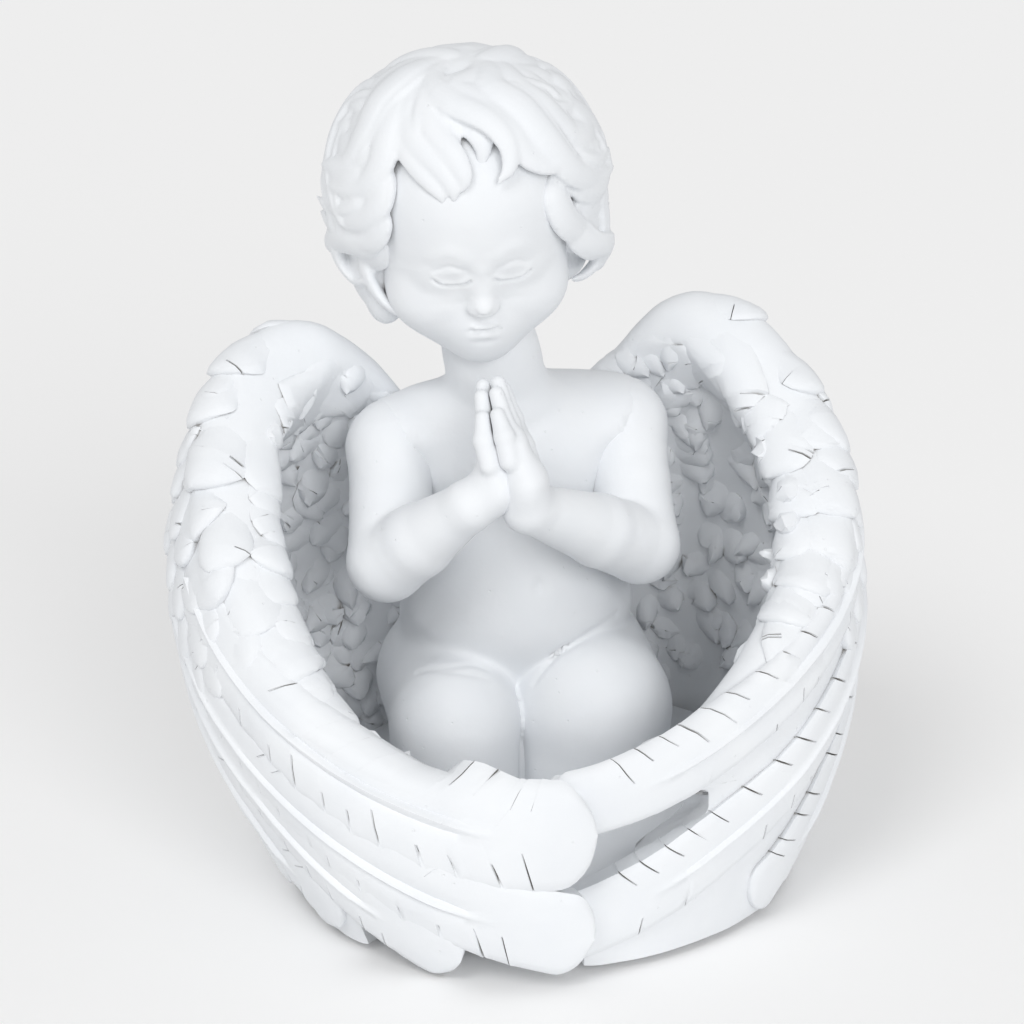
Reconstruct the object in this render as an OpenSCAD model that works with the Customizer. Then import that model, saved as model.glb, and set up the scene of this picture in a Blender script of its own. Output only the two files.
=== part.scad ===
// Kneeling angel figurine: a child with joined hands inside two wings that wrap round
// to the front and make a nest. The parts are resin castings, pinned with steel dowels and
// bonded. Origin: on the table, under the axis that the wings are laid out round. +Z up,
// the figure faces -Y, and "left" is the figure's own left, at +X.

/* [Base] */
// Radius of the round base
base_r = 51; // [50:0.5:52]
// Height of the nest floor, the top of the base, above the table
base_h = 19; // [18:0.5:20]
// Radius that rounds the base's lower edge
base_round = 8; // [5:1:10]
// Radius of the felt pad
felt_r = 38; // [34:1:40]
// Thickness of the felt pad
felt_t = 1.5; // [1:0.25:2]
// Radius of the plug in the drain hole
plug_r = 8; // [6:0.5:9]

/* [Figure] */
// How far the head is bowed, in degrees
head_bow = 18; // [12:1:22]
// How far the head turns to its right, in degrees
head_turn = 8; // [4:1:12]
// Radius of the skull, side to side
skull_r = 21; // [20:0.5:22]
// Wall of the hollow torso
torso_wall = 7; // [6:0.5:8]
// Radius of the neck and base dowels
dowel_r = 2.5; // [2:0.25:3]
// Radius of the shoulder and wing dowels
small_dowel_r = 2; // [1.5:0.25:2.25]
// Gap between a dowel and its hole, on the radius
dowel_gap = 0.1; // [0.05:0.05:0.2]

/* [Wings] */
// Thickness of a wing's wall below its rounded leading edge
wing_wall = 7; // [6:0.5:8]
// How far a long feather stands proud of the wing's wall
feather_rise = 1.6; // [1:0.2:2.2]
// How far a short covert feather stands proud
covert_rise = 1.4; // [1:0.2:1.8]

/* [Hidden] */
resin = "white";
steel = "lightsteelblue";
LEFT = 1;
RIGHT = -1;
far = 200;           // larger than the whole figurine
ball_fn = 20;        // sides of the castings' rounded forms
curl_fn = 12;        // the curls are small, so they take fewer sides
turned_fn = 96;      // sides of the base and the pad
bore_fn = 32;        // sides of dowels and their holes
slack = 0.15;        // clearance between castings that only touch

// ---- places on the figure

// Middles of the hips, waist and chest, with their half widths along X, Y and Z
hips = [2.5, 15, 38];
hips_size = [27, 21, 19];
waist = [2.5, 8, 58];
waist_size = [23.5, 18.5, 17];
chest = [1.5, 8.5, 82];
chest_size = [20, 16.5, 17];
chest_hollow_z = 74;     // middle and half height of the cavity's top end
chest_hollow_h = 15;
neck_base = [1, 8, 99];
neck_top = [-4, 3, 113];
neck_r = 9.5;
head_centre = [-10, -3, 147];
head_lean = -4;          // lean to its right, in degrees
neck_dowel_dir = head_centre - neck_base;
shoulder_z = 95;
shoulder_y = 9;
shoulder_cut = 19;       // the arms are cast apart beyond this distance from the middle
shoulder_low = 84;       // lower end of that cut
arm_back_y = -3;         // behind this an arm lies beyond its cut, never over the chest
palm_x = -12.6;          // plane where the palms meet
palm_y = -31;
palm_half = 2.4;         // from that plane to the middle of a hand
palm_size = [2.6, 7.4, 6];

// ---- the wings' lay-out

base_centre = [4, -3];   // the base stands a little off the nest's axis

// One wing's cross sections, from the back (0 degrees) round the side to the front (180).
// Each row: angle, then the leading edge's radius from the axis, height and thickness
// radius, then the belly's radius and height, then the foot's radius.
right_rows = [
    [22, 26, 78, 6, 40, 42, 46],
    [36, 32, 89, 8, 47, 46, 49],
    [50, 40, 101, 9.5, 57, 52, 51],
    [63, 48, 108, 10, 65, 56, 50],
    [76, 56, 102, 9.5, 70, 58, 49],
    [90, 60.5, 90, 8.5, 71, 53, 49],
    [104, 62.5, 75, 8, 70, 45, 51],
    [118, 62.5, 60, 7, 68, 37, 53.5],
    [134, 62, 47, 5.5, 67, 29, 57],
    [151, 61.5, 40, 4.2, 66.5, 25, 60],
    [165, 61.5, 41, 4, 66, 24, 62],
    [180, 62.5, 44, 4, 66, 24, 64],
    [198, 62.5, 44, 4, 66, 24, 64]];
left_rows = [
    [22, 26, 72, 6, 42, 40, 47],
    [36, 33, 83, 8, 49, 46, 52],
    [50, 41, 98, 9, 58, 52, 56],
    [63, 48, 109, 9, 66, 57, 59],
    [76, 55, 106, 9, 71, 60, 60],
    [90, 60, 95, 8.5, 72, 54, 60],
    [104, 63, 81, 8, 72, 47, 60],
    [118, 62, 67, 7, 70, 40, 60],
    [134, 59.5, 57, 5.5, 67, 32, 60],
    [151, 57.5, 48, 4.2, 62.5, 25, 59.5],
    [165, 56.5, 44, 4, 61, 24, 59.5],
    [180, 56, 43, 4, 60, 24, 59.3],
    [198, 56, 43, 4, 60, 24, 59.3]];
wing_foot_z = 2;     // height of a wing's lower edge
wing_start = 22;     // the wings begin this many degrees from the spine
left_end = 158;      // the left wing's wall ends here, and only its feathers go on
right_end = 152;
web_r = 62;          // radius at which a feather's width is measured
tip_start = 0.84;    // share of a feather's length at which its round tip begins

function rows_of(side) = side == LEFT ? left_rows : right_rows;

// Smooth value of column c at angle a in rows sorted by angle (cubic through every row)
function slope(rows, k, c) =
    let (lo = max(k - 1, 0), hi = min(k + 1, len(rows) - 1))
    (rows[hi][c] - rows[lo][c]) / (rows[hi][0] - rows[lo][0]);
function row_index(rows, a) =
    max([for (k = [0:len(rows) - 2]) if (k == 0 || a >= rows[k][0]) k]);
function at(rows, a, c) =
    let (k = row_index(rows, a),
         w = rows[k + 1][0] - rows[k][0],
         t = min(max((a - rows[k][0]) / w, 0), 1),
         t2 = t * t,
         t3 = t2 * t)
    rows[k][c] * (2 * t3 - 3 * t2 + 1) + rows[k + 1][c] * (3 * t2 - 2 * t3)
    + slope(rows, k, c) * w * (t3 - 2 * t2 + t) + slope(rows, k + 1, c) * w * (t3 - t2);

// Outer face of a wing at one angle: a parabola from the foot, by the belly, to the leading
// edge. Each point is [radius, height].
function foot(side, a) = [at(rows_of(side), a, 6), wing_foot_z];
function belly(side, a) = [at(rows_of(side), a, 4), at(rows_of(side), a, 5)];
function edge(side, a) = [at(rows_of(side), a, 1), at(rows_of(side), a, 2)];
function edge_r(side, a) = at(rows_of(side), a, 3);
function outer_top(side, a) = edge(side, a) + [edge_r(side, a), 0];
function parabola(p, mid, q, u) =
    let (c = 2 * mid - (p + q) / 2)
    (1 - u) * (1 - u) * p + 2 * u * (1 - u) * c + u * u * q;

// Radius of the outer face at angle a and height z
function outer_radius(side, a, z) =
    let (p = foot(side, a),
         q = outer_top(side, a),
         c = 2 * belly(side, a) - (p + q) / 2,
         r = edge_r(side, a),
         ca = p[1] - 2 * c[1] + q[1],
         cb = 2 * (c[1] - p[1]),
         cc = p[1] - min(max(z, p[1]), q[1]),
         u = abs(ca) < 0.01 ? -cc / cb : (-cb + sqrt(max(cb * cb - 4 * ca * cc, 0))) / (2 * ca),
         up = min(max(z - q[1], 0), 0.92 * r))
    (1 - u) * (1 - u) * p[0] + 2 * u * (1 - u) * c[0] + u * u * q[0] - (r - sqrt(r * r - up * up));

// Distance from the nest's axis to the base's side at angle a
function base_reach(side, a) =
    let (d = [side * sin(a), cos(a)],
         along = base_centre * d,
         off = base_centre[0] * d[1] - base_centre[1] * d[0])
    along + sqrt(base_r * base_r - off * off);

function polar(side, a, p) = [side * p[0] * sin(a), p[0] * cos(a), p[1]];

// Ring of points round a wing's cross section
function wing_ring(side, a) =
    let (e = edge(side, a), r = edge_r(side, a), w = [wing_wall, 0],
         f = foot(side, a), b = belly(side, a),
         // the foot's inner side reaches into the base, which then cuts it to fit
         inner_foot = [min(base_reach(side, a) - 1, f[0] - wing_wall), f[1]])
    concat(
        [for (i = [0:6]) parabola(f, b, outer_top(side, a), i / 6)],
        [for (k = [1:5]) e + r * [cos(k * 30), sin(k * 30)]],
        [for (i = [6:-1:0]) parabola(inner_foot, b - w, e - [r, 0], i / 6)]);

// Closed solid through rings of equal length; flip turns the faces outward
module loft(rings, flip) {
    n = len(rings[0]);
    m = len(rings);
    points = [for (ring = rings) each ring];
    sides = [for (i = [0:m - 2], j = [0:n - 1])
        let (a = i * n + j, b = i * n + (j + 1) % n, c = b + n, d = a + n)
        each flip ? [[a, b, c], [a, c, d]] : [[a, c, b], [a, d, c]]];
    first = [for (j = [0:n - 1]) flip ? n - 1 - j : j];
    last = [for (j = [0:n - 1]) (m - 1) * n + (flip ? j : n - 1 - j)];
    polyhedron(points, concat(sides, [first], [last]), convexity = 8);
}

module wing_shell(side) {
    last = side == LEFT ? left_end : right_end;
    steps = 30;
    loft([for (i = [0:steps])
        let (a = wing_start + (last - wing_start) * i / steps)
        [for (p = wing_ring(side, a)) polar(side, a, p)]], side == RIGHT);
}

// A feather lies on the outer face along its quill. The quill runs from start to tip, each
// [angle, height], and bows by sag millimetres. The web is widest two thirds along.
function quill(start, tip, sag, t) =
    start + (tip - start) * t + [0, -4 * sag * t * (1 - t)];
function web(t, half) = half * (0.62 + 0.38 * sin(min(t * 120, 90)))
    * sqrt(max(1 - pow(max(t - tip_start, 0) / (1 - tip_start), 2.5), 0.02));
// How far the feather has come out from under the coverts above its root
function grown(t) = min(t * 6, 1);
function feather_ring(side, start, tip, sag, half, rise, depth, t) =
    let (q = quill(start, tip, sag, t),
         q2 = quill(start, tip, sag, t + 0.02),
         run = (q2[0] - q[0]) * PI / 180 * web_r,
         climb = q2[1] - q[1],
         len = sqrt(run * run + climb * climb),
         w = web(t, half),
         spots = [for (s = [-1, -0.5, 0, 0.5, 1])
             [q[0] - climb / len * s * w / web_r * 180 / PI, q[1] + run / len * s * w, s]])
    concat(
        [for (p = spots)
            let (crown = (rise + 1.5) * grown(t) - 1.5 - 0.7 * rise * p[2] * p[2])
            polar(side, p[0], [outer_radius(side, p[0], p[1]) + crown, p[1]])],
        [for (k = [4, 2, 0])
            let (p = spots[k])
            polar(side, p[0], [outer_radius(side, p[0], p[1]) - depth, p[1]])]);
module feather(side, start, tip, sag, half, rise, depth) {
    steps = 14;
    loft([for (i = [0:steps])
        let (t = 1 - pow(1 - i / steps, 1.4))
        feather_ring(side, start, tip, sag, half, rise, depth, t)], side == RIGHT);
}

// Long feathers: start [angle, height], tip [angle, height], sag, half width
right_long = [
    [[98, 75], [180, 35.5], 12, 11.5],
    [[92, 64], [180, 12], 9, 9],
    [[88, 62], [156, 6], 6, 8],
    [[82, 58], [128, 6], 3, 8],
    [[74, 56], [104, 6], 1, 8],
    [[62, 54], [84, 6], 0, 8],
    [[50, 52], [64, 6], 0, 7.5],
    [[38, 50], [46, 6], 0, 7]];
left_long = [
    [[98, 80], [187, 38], 8, 7],
    [[92, 72], [187, 10.5], 9, 7.5],
    [[88, 64], [141, 7], 5, 8],
    [[82, 58], [112, 8], 3, 8],
    [[72, 56], [94, 6], 1, 8],
    [[60, 54], [78, 6], 0, 8],
    [[48, 52], [62, 6], 0, 7.5],
    [[38, 50], [45, 6], 0, 7]];

// A short covert feather: a thin rounded scale that runs from [a, z] towards the tips
module covert(side, a, z, half, run) {
    tip_a = a + run[0];
    tip_z = z + run[1];
    hull() {
        translate(polar(side, a, [outer_radius(side, a, z) - half, z]))
            sphere(half * 0.9, $fn = 8);
        translate(polar(side, tip_a, [outer_radius(side, tip_a, tip_z) - half + covert_rise, tip_z]))
            sphere(half, $fn = 10);
    }
}
// Two rows of six coverts; a row sinks faster the further forward it is
module coverts(side) {
    for (k = [0:5]) {
        covert(side, 46 + 9 * k, 94 - 0.5 * k * k, 3.6, [4, -8]);
        covert(side, 42 + 10 * k, 77 - 0.3 * k * k, 3.8, [5, -9]);
    }
}

module wing_solid(side) {
    wing_shell(side);
    for (f = side == LEFT ? left_long : right_long)
        feather(side, f[0], f[1], f[2], f[3], feather_rise, wing_wall - 2);
    coverts(side);
    wing_root(side);
}

// Thick root that carries the wing on the shoulder blade
module wing_root(side) {
    link([side * 10, 22, 90], 6.5, [side * 17, 27, 86], 7);
    link([side * 10, 22, 78], 5.5, [side * 16, 29, 72], 6);
}

// ---- the figure

module ball(p, r) {
    translate(p) sphere(r, $fn = ball_fn);
}
module link(p, rp, q, rq) {
    hull() {
        ball(p, rp);
        ball(q, rq);
    }
}
// Ellipsoid at p with half axes s
module egg(p, s, fn = ball_fn) {
    translate(p) scale(s) sphere(1, $fn = fn);
}
module eggs(p, s, q, t, fn = ball_fn) {
    hull() {
        egg(p, s, fn);
        egg(q, t, fn);
    }
}
// Everything above a plane through p with normal n
module above(p, n) {
    translate(p)
        rotate([0, acos(n[2] / norm(n)), atan2(n[1], n[0])])
            translate([-far, -far, 0]) cube([2 * far, 2 * far, 2 * far]);
}

module torso_shape() {
    eggs(hips, hips_size, waist, waist_size);
    eggs(waist, waist_size, chest, chest_size);
    // breast, shoulders, then the neck
    eggs([-8, 9, 90], [11.5, 12, 9], [10, 10, 91], [11.5, 12, 9]);
    link([-18, 9, 94], 8.5, [20, 10, 95], 8.5);
    link(neck_base - [0, 0, 8], 12, neck_top, neck_r);
}
module legs_shape() {
    // thighs, from hip to knee
    link([-11, 17, 38], 16.5, [-16.5, -9, 35], 14.5);
    link([16, 16, 38], 17, [15.5, -8, 35], 15.5);
    // shins folded under them, then the feet
    for (side = [RIGHT, LEFT]) {
        ankle = [side * 11.5 + 1, 30, 26];
        link([side * 15, -9, 33], 13, ankle, 8);
        link(ankle, 7.5, [side * 9 + 1, 41, 24.5], 6);
    }
}
module figure_shape() {
    torso_shape();
    legs_shape();
}
module torso_hollow() {
    w = [torso_wall, torso_wall, torso_wall];
    top = [chest[0], chest[1], chest_hollow_z];
    top_size = [chest_size[0], chest_size[1], chest_hollow_h];
    eggs(hips, hips_size - w, waist, waist_size - w);
    eggs(waist, waist_size - w, top, top_size - w);
    translate([plug_at[0], plug_at[1], 0]) cylinder(r = plug_r, h = hips[2], $fn = 24);
}
// Space of one arm's casting, beyond the cut beside the shoulder
module shoulder_end(side) {
    translate([side > 0 ? shoulder_cut : -shoulder_cut - far, -far / 2, shoulder_low])
        cube([far, far, far]);
}

module dowel(p, dir, len, r) {
    translate(p)
        rotate([0, acos(dir[2] / norm(dir)), atan2(dir[1], dir[0])])
            cylinder(r = r, h = len, center = true, $fn = bore_fn);
}

neck_pin_len = 24;
pin_len = 16;                 // all the other dowels
wing_pin_z = [90, 78];
wing_pin_dir = [0.3, 1, -0.1];
base_pin_x = 14;
base_pin_y = -6;
module neck_pin(r) { dowel(neck_top, neck_dowel_dir, neck_pin_len, r); }
module shoulder_pin(side, r) {
    dowel([side * shoulder_cut, shoulder_y, shoulder_z - 1], [side, 0, 0], pin_len, r);
}
module wing_pins(side, r) {
    way = [side * wing_pin_dir[0], wing_pin_dir[1], wing_pin_dir[2]];
    for (k = [0, 1]) dowel([side * 10, 24 + k, wing_pin_z[k]], way, pin_len, r);
}
module base_pin_pair(r) {
    for (side = [RIGHT, LEFT])
        translate([side * base_pin_x, base_pin_y, base_h])
            cylinder(r = r, h = pin_len, center = true, $fn = bore_fn);
}

module body() {
    color(resin) difference() {
        figure_shape();
        translate([-far, -far, base_h - 2 * far]) cube(2 * far);
        above(neck_top, neck_dowel_dir);
        for (side = [RIGHT, LEFT]) {
            shoulder_end(side);
            shoulder_pin(side, small_dowel_r + dowel_gap);
            wing_pins(side, small_dowel_r + dowel_gap);
        }
        neck_pin(dowel_r + dowel_gap);
        base_pin_pair(dowel_r + dowel_gap);
        torso_hollow();
    }
}

// Head: skull, full cheeks, and a cap of hair with a ring of curls
module in_head() {
    translate(head_centre) rotate([head_bow, head_lean, -head_turn]) children();
}
curl_count = 13;
// The curls hang from ear to ear round the back, and none over the face
module curls() {
    for (k = [0:curl_count - 1]) {
        a = -40 + 260 * k / (curl_count - 1);
        in_head() eggs([23 * cos(a), 5 + 20 * sin(a), -2], [6, 6, 7],
                       [22 * cos(a), 5 + 20 * sin(a), -15 + 3 * sin(3 * a)], [4.5, 5, 5], curl_fn);
    }
}
module head() {
    color(resin) difference() {
        union() {
            in_head() {
                // skull, hair, cheeks, chin and nose
                eggs([0, 3, 6], [skull_r, skull_r + 1, 21], [0, -4, -12], [17, 16, 14]);
                eggs([0, 5, 9], [26, 25, 23.5], [0, 7, 4], [27, 22, 20]);
                eggs([-9, -9, -15], [8, 9, 8], [9, -9, -15], [8, 9, 8]);
                eggs([0, -12, -25], [6.5, 7, 6], [0, -8, -20], [10, 9, 8]);
                egg([0, -20.5, -11], [2.6, 3.5, 2.6]);
            }
            curls();
            link(neck_top, neck_r, head_centre + [1, 4, -16], 11);
        }
        above(neck_top, -neck_dowel_dir);
        neck_pin(dowel_r + dowel_gap);
    }
}

// Arms: the middles of shoulder, elbow and wrist
right_joints = [[-24, 9, 92.5], [-29.5, -11, 76], [-17, -27, 91]];
left_joints = [[25.5, 9, 93.5], [23.5, -11, 75], [-7, -28, 91]];
shoulder_r = 9.6;
upper_arm_r = 9;
elbow_r = 9.5;
forearm_r = 8.4;
wrist_r = 6;

// A flat hand, palm in the palms' plane, with its fingers upright and its thumb in front
module hand(side, wrist) {
    middle = palm_x + side * palm_half;
    palm = [middle, palm_y, 99];
    hull() {
        ball(wrist, 0.9 * wrist_r);
        egg(palm, palm_size);
    }
    eggs(palm, palm_size, [middle, palm_y - 2, 112], [2.2, 5, 5]);
    eggs([middle, palm_y - 5, 95], [2.4, 2.8, 4], [middle, palm_y - 6, 105], [2, 2.2, 3]);
}
module arm_shape(side, joints) {
    upper = joints[1] * 0.45 + joints[0] * 0.55;
    fore = joints[2] * 0.4 + joints[1] * 0.6;
    link([side * (shoulder_cut - 4), shoulder_y, shoulder_z], elbow_r, joints[0], shoulder_r);
    link(joints[0], shoulder_r, upper, upper_arm_r);
    link(upper, upper_arm_r, joints[1], elbow_r);
    link(joints[1], elbow_r, fore, forearm_r);
    link(fore, forearm_r, joints[2], wrist_r);
    hand(side, joints[2]);
}
module arm(side, joints) {
    color(resin) difference() {
        arm_shape(side, joints);
        // the shoulder ends at its cut, and the hand at the palms' plane
        translate([side > 0 ? shoulder_cut - far : -shoulder_cut, arm_back_y, 0]) cube(far);
        translate([side > 0 ? palm_x - far : palm_x, arm_back_y - far, 0]) cube(far);
        shoulder_pin(side, small_dowel_r + dowel_gap);
    }
}
module left_arm() { arm(LEFT, left_joints); }
module right_arm() { arm(RIGHT, right_joints); }

module wing(side) {
    color(resin) difference() {
        wing_solid(side);
        figure_shape();
        translate([base_centre[0], base_centre[1], -far])
            cylinder(r = base_r + slack, h = far + base_h, $fn = turned_fn);
        wing_pins(side, small_dowel_r + dowel_gap);
    }
}
module left_wing() { wing(LEFT); }
module right_wing() { wing(RIGHT); }

// ---- base, dowels, pad and plug

base_z = 0.5;        // the base stands on the pad, this far above the table
felt_gap = 0.3;      // round the pad in its recess
plug_at = [0, 12];   // the drain hole's axis
plug_gap = 0.05;     // round the plug
plug_sunk = 4;       // how far the plug stays below the nest floor
module at_base() { translate([base_centre[0], base_centre[1], 0]) children(); }
module base_plate() {
    color(resin) difference() {
        at_base() rotate_extrude($fn = turned_fn) union() {
            translate([0, base_z]) square([base_r - base_round, base_h - base_z]);
            translate([0, base_z + base_round]) square([base_r, base_h - base_z - base_round]);
            translate([base_r - base_round, base_z + base_round]) circle(base_round, $fn = 48);
        }
        at_base() cylinder(r = felt_r + felt_gap, h = felt_t, $fn = turned_fn);
        translate([plug_at[0], plug_at[1], -1])
            cylinder(r = plug_r, h = base_h + 2, $fn = 48);
        base_pin_pair(dowel_r + dowel_gap);
    }
}
module fill_plug() {
    color("gainsboro") translate([plug_at[0], plug_at[1], felt_t + slack])
        cylinder(r = plug_r - plug_gap, h = base_h - felt_t - plug_sunk, $fn = 48);
}
module felt_pad() {
    color("dimgray") at_base() cylinder(r = felt_r, h = felt_t, $fn = turned_fn);
}
module neck_dowel() { color(steel) neck_pin(dowel_r); }
module shoulder_dowels() {
    color(steel) for (side = [RIGHT, LEFT]) shoulder_pin(side, small_dowel_r);
}
module left_wing_dowels() { color(steel) wing_pins(LEFT, small_dowel_r); }
module right_wing_dowels() { color(steel) wing_pins(RIGHT, small_dowel_r); }
module base_pins() { color(steel) base_pin_pair(dowel_r); }

base_plate();
body();
head();
left_arm();
right_arm();
left_wing();
right_wing();
neck_dowel();
shoulder_dowels();
left_wing_dowels();
right_wing_dowels();
base_pins();
felt_pad();
fill_plug();
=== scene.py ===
import math
import random

import bmesh
import bpy
import numpy as np
from mathutils import Matrix, Vector, noise


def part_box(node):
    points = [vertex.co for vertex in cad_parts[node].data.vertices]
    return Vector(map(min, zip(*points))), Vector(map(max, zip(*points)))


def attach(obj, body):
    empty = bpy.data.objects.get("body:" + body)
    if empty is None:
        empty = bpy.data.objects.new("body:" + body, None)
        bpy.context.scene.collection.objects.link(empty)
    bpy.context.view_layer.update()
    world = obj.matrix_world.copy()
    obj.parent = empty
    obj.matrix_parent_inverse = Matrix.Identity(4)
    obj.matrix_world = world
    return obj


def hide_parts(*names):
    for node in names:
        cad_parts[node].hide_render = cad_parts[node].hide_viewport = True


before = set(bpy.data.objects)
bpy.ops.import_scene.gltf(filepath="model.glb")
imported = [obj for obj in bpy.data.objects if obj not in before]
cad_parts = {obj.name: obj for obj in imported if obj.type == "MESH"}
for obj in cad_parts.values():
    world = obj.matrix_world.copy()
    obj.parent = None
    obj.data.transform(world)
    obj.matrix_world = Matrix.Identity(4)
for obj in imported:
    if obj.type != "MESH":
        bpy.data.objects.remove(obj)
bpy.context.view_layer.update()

# Everything is worked out in millimetres, in the CAD's own axes: +Z up, the figure faces -Y,
# and LEFT is the figure's own left, at +X. A finished mesh is turned to metres at the end.
MM = 0.001
LEFT, RIGHT = 1, -1


# ---------------------------------------------------------------- small helpers

def vec(*v):
    return np.array(v, float)


def unit(v):
    return v / np.maximum(np.linalg.norm(v, axis=-1, keepdims=True), 1e-9)


def smooth(lo, hi, x):
    t = np.clip((x - lo) / (hi - lo), 0, 1)
    return t * t * (3 - 2 * t)


def wobble(points, grain, seed=0.0):
    """Soft random value from -1 to 1 at each point, changing over about grain millimetres."""
    shift = Vector((seed * 17.3, seed * 5.1, seed * 9.7))
    return np.array([noise.noise(Vector(p) / grain + shift) for p in points])


def spots(bm):
    return np.array([v.co[:] for v in bm.verts])


def place(bm, points):
    for v, p in zip(bm.verts, points):
        v.co = p


def cast(name, bm, material, node=None, crease=48.0):
    """Turn a mesh in millimetres into a finished piece that stands for a CAD node."""
    bmesh.ops.scale(bm, vec=(MM, MM, MM), verts=bm.verts)
    bmesh.ops.recalc_face_normals(bm, faces=bm.faces)
    mesh = bpy.data.meshes.new(name)
    bm.to_mesh(mesh)
    bm.free()
    mesh.materials.append(material)
    mesh.shade_smooth()
    mesh.set_sharp_from_angle(angle=math.radians(crease))
    ob = bpy.data.objects.new(name, mesh)
    bpy.context.scene.collection.objects.link(ob)
    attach(ob, "root")
    if node:
        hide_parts(node)
    return ob


def sheet_grid(across, along):
    """Flat grid; returns the bmesh and each vertex's column and row."""
    bm = bmesh.new()
    bmesh.ops.create_grid(bm, x_segments=along - 1, y_segments=across - 1, size=1)
    co = spots(bm)
    col = np.rint((co[:, 0] + 1) / 2 * (along - 1)).astype(int)
    row = np.rint((co[:, 1] + 1) / 2 * (across - 1)).astype(int)
    return bm, col, row


def join_into(target, source):
    """Add one bmesh to another."""
    mesh = bpy.data.meshes.new("part")
    source.to_mesh(mesh)
    source.free()
    target.from_mesh(mesh)
    bpy.data.meshes.remove(mesh)


# ---------------------------------------------------------------- the wings' shape

# The CAD's own cross sections. Each row: angle from the spine, the leading edge's radius,
# height and thickness radius, the belly's radius and height, and the foot's radius.
ROWS = {
    RIGHT: np.array([
        [22, 26, 78, 6, 40, 42, 46], [36, 32, 89, 8, 47, 46, 49],
        [50, 40, 101, 9.5, 57, 52, 51], [63, 48, 108, 10, 65, 56, 50],
        [76, 56, 102, 9.5, 70, 58, 49], [90, 60.5, 90, 8.5, 71, 53, 49],
        [104, 62.5, 75, 8, 70, 45, 51], [118, 62.5, 60, 7, 68, 37, 53.5],
        [134, 62, 47, 5.5, 67, 29, 57], [151, 61.5, 40, 4.2, 66.5, 25, 60],
        [165, 61.5, 41, 4, 66, 24, 62], [180, 62.5, 44, 4, 66, 24, 64],
        [198, 62.5, 44, 4, 66, 24, 64]]),
    LEFT: np.array([
        [22, 26, 72, 6, 42, 40, 47], [36, 33, 83, 8, 49, 46, 52],
        [50, 41, 98, 9, 58, 52, 56], [63, 48, 109, 9, 66, 57, 59],
        [76, 55, 106, 9, 71, 60, 60], [90, 60, 95, 8.5, 72, 54, 60],
        [104, 63, 81, 8, 72, 47, 60], [118, 62, 67, 7, 70, 40, 60],
        [134, 59.5, 57, 5.5, 67, 32, 60], [151, 57.5, 48, 4.2, 62.5, 25, 59.5],
        [165, 56.5, 44, 4, 61, 24, 59.5], [180, 56, 43, 4, 60, 24, 59.3],
        [198, 56, 43, 4, 60, 24, 59.3]]),
}
# Where the wall under the feathers starts and ends, in degrees from the spine
WING_START = 22
WING_END = {LEFT: 158, RIGHT: 152}
# Its end has a notch between the two longest feathers: the notch's height in mm and its depth
# in degrees. Its foot is cut back by some degrees, or goes on further where that is negative.
NOTCH_Z = {LEFT: 33.5, RIGHT: 22.0}
NOTCH_DEEP = {LEFT: 4, RIGHT: 7}
FOOT_CUT = {LEFT: -26, RIGHT: 12}
WING_WALL = 7.0                         # the wall's thickness
FOOT_Z = 2.0                            # height of the wings' lower edge
# The round base under the nest, and the height of the nest's floor
BASE_CENTRE, BASE_R, FLOOR_Z = (4.0, -3.0), 51.0, 19.0
# Width of the squares in each sculpted net, in mm
BODY_NET, ARM_NET, FACE_NET, HAIR_NET, ROOT_NET = 0.8, 0.5, 0.42, 0.47, 0.9


def base_reach(side, a):
    """Distance from the nest's axis to the base's side at angle a, in degrees."""
    turn = math.radians(a)
    way = (side * math.sin(turn), math.cos(turn))
    ahead = BASE_CENTRE[0] * way[0] + BASE_CENTRE[1] * way[1]
    off = BASE_CENTRE[0] * way[1] - BASE_CENTRE[1] * way[0]
    return ahead + math.sqrt(BASE_R**2 - off**2)


def column(rows, a, c):
    """Smooth value of column c at angles a: a cubic through every row."""
    x, y = rows[:, 0], rows[:, c]
    slope = np.empty(len(x))
    slope[1:-1] = (y[2:] - y[:-2]) / (x[2:] - x[:-2])
    slope[0] = (y[1] - y[0]) / (x[1] - x[0])
    slope[-1] = (y[-1] - y[-2]) / (x[-1] - x[-2])
    k = np.clip(np.searchsorted(x, a, side="right") - 1, 0, len(x) - 2)
    w = x[k + 1] - x[k]
    t = np.clip((a - x[k]) / w, 0, 1)
    return (y[k] * (2 * t**3 - 3 * t**2 + 1) + y[k + 1] * (3 * t**2 - 2 * t**3)
            + slope[k] * w * (t**3 - 2 * t**2 + t) + slope[k + 1] * w * (t**3 - t**2))


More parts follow.
